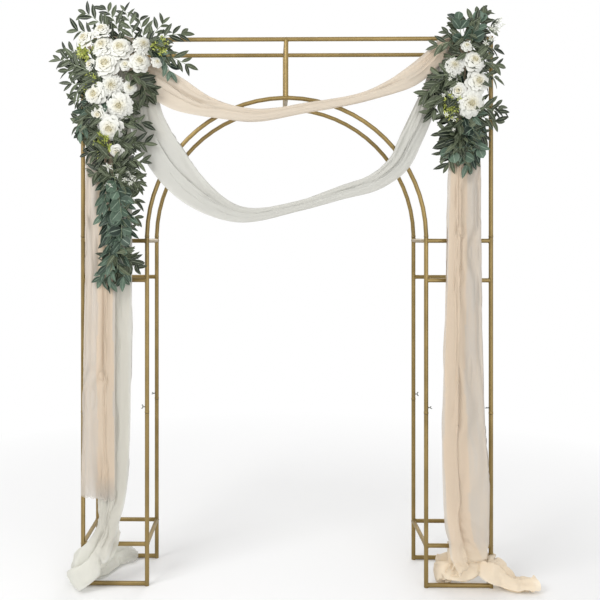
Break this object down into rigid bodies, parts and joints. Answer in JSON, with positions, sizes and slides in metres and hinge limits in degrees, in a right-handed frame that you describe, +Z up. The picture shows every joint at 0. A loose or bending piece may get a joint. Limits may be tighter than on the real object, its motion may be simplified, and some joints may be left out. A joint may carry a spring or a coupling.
{
  "type": "wedding arch",
  "caption": "Free-standing gold tube frame with a round inner arch on open square towers, draped with chiffon and dressed with silk roses and leaves.",
  "frame": {"origin": "the middle of the floor area that the dressed arch takes up, on the floor; the middle of the bare frame is 68 mm to the left of it and 76.5 mm behind it", "axes": "+X to the right across the arch as seen from the front, +Y from the dressed front to the back, +Z up"},
  "size_m": [2.164, 0.473, 2.545],
  "materials": {
    "gold_frame": "satin",
    "champagne_chiffon": "matte",
    "ivory_chiffon": "matte",
    "silk_leaf": "matte",
    "silk_petal": "matte"
  },
  "bodies": {
    "root": {"front_left_lower_leg": "gold_frame", "front_left_upper_leg": "gold_frame", "front_left_corner": "gold_frame", "front_left_arch_half": "gold_frame", "front_right_lower_leg": "gold_frame", "front_right_upper_leg": "gold_frame", "front_right_corner": "gold_frame", "front_right_arch_half": "gold_frame", "front_centre_post": "gold_frame", "back_left_lower_leg": "gold_frame", "back_left_upper_leg": "gold_frame", "back_left_corner": "gold_frame", "back_left_arch_half": "gold_frame", "back_right_lower_leg": "gold_frame", "back_right_upper_leg": "gold_frame", "back_right_corner": "gold_frame", "back_right_arch_half": "gold_frame", "back_centre_post": "gold_frame", "left_inner_lower_tie": "gold_frame", "left_outer_lower_tie": "gold_frame", "left_inner_spring_tie": "gold_frame", "left_outer_spring_tie": "gold_frame", "left_top_tie": "gold_frame", "right_inner_lower_tie": "gold_frame", "right_outer_lower_tie": "gold_frame", "right_inner_spring_tie": "gold_frame", "right_outer_spring_tie": "gold_frame", "right_top_tie": "gold_frame", "top_centre_tie": "gold_frame", "arch_apex_tie": "gold_frame", "upper_swag": "champagne_chiffon", "left_fall": "champagne_chiffon", "right_fall": "champagne_chiffon", "right_puddle": "champagne_chiffon", "lower_swag": "ivory_chiffon", "left_puddle": "ivory_chiffon", "left_leaves": "silk_leaf", "left_trail": "silk_leaf", "right_leaves": "silk_leaf", "left_upper_blooms": "silk_petal", "left_lower_blooms": "silk_petal", "right_blooms": "silk_petal"}
  },
  "joints": []
}
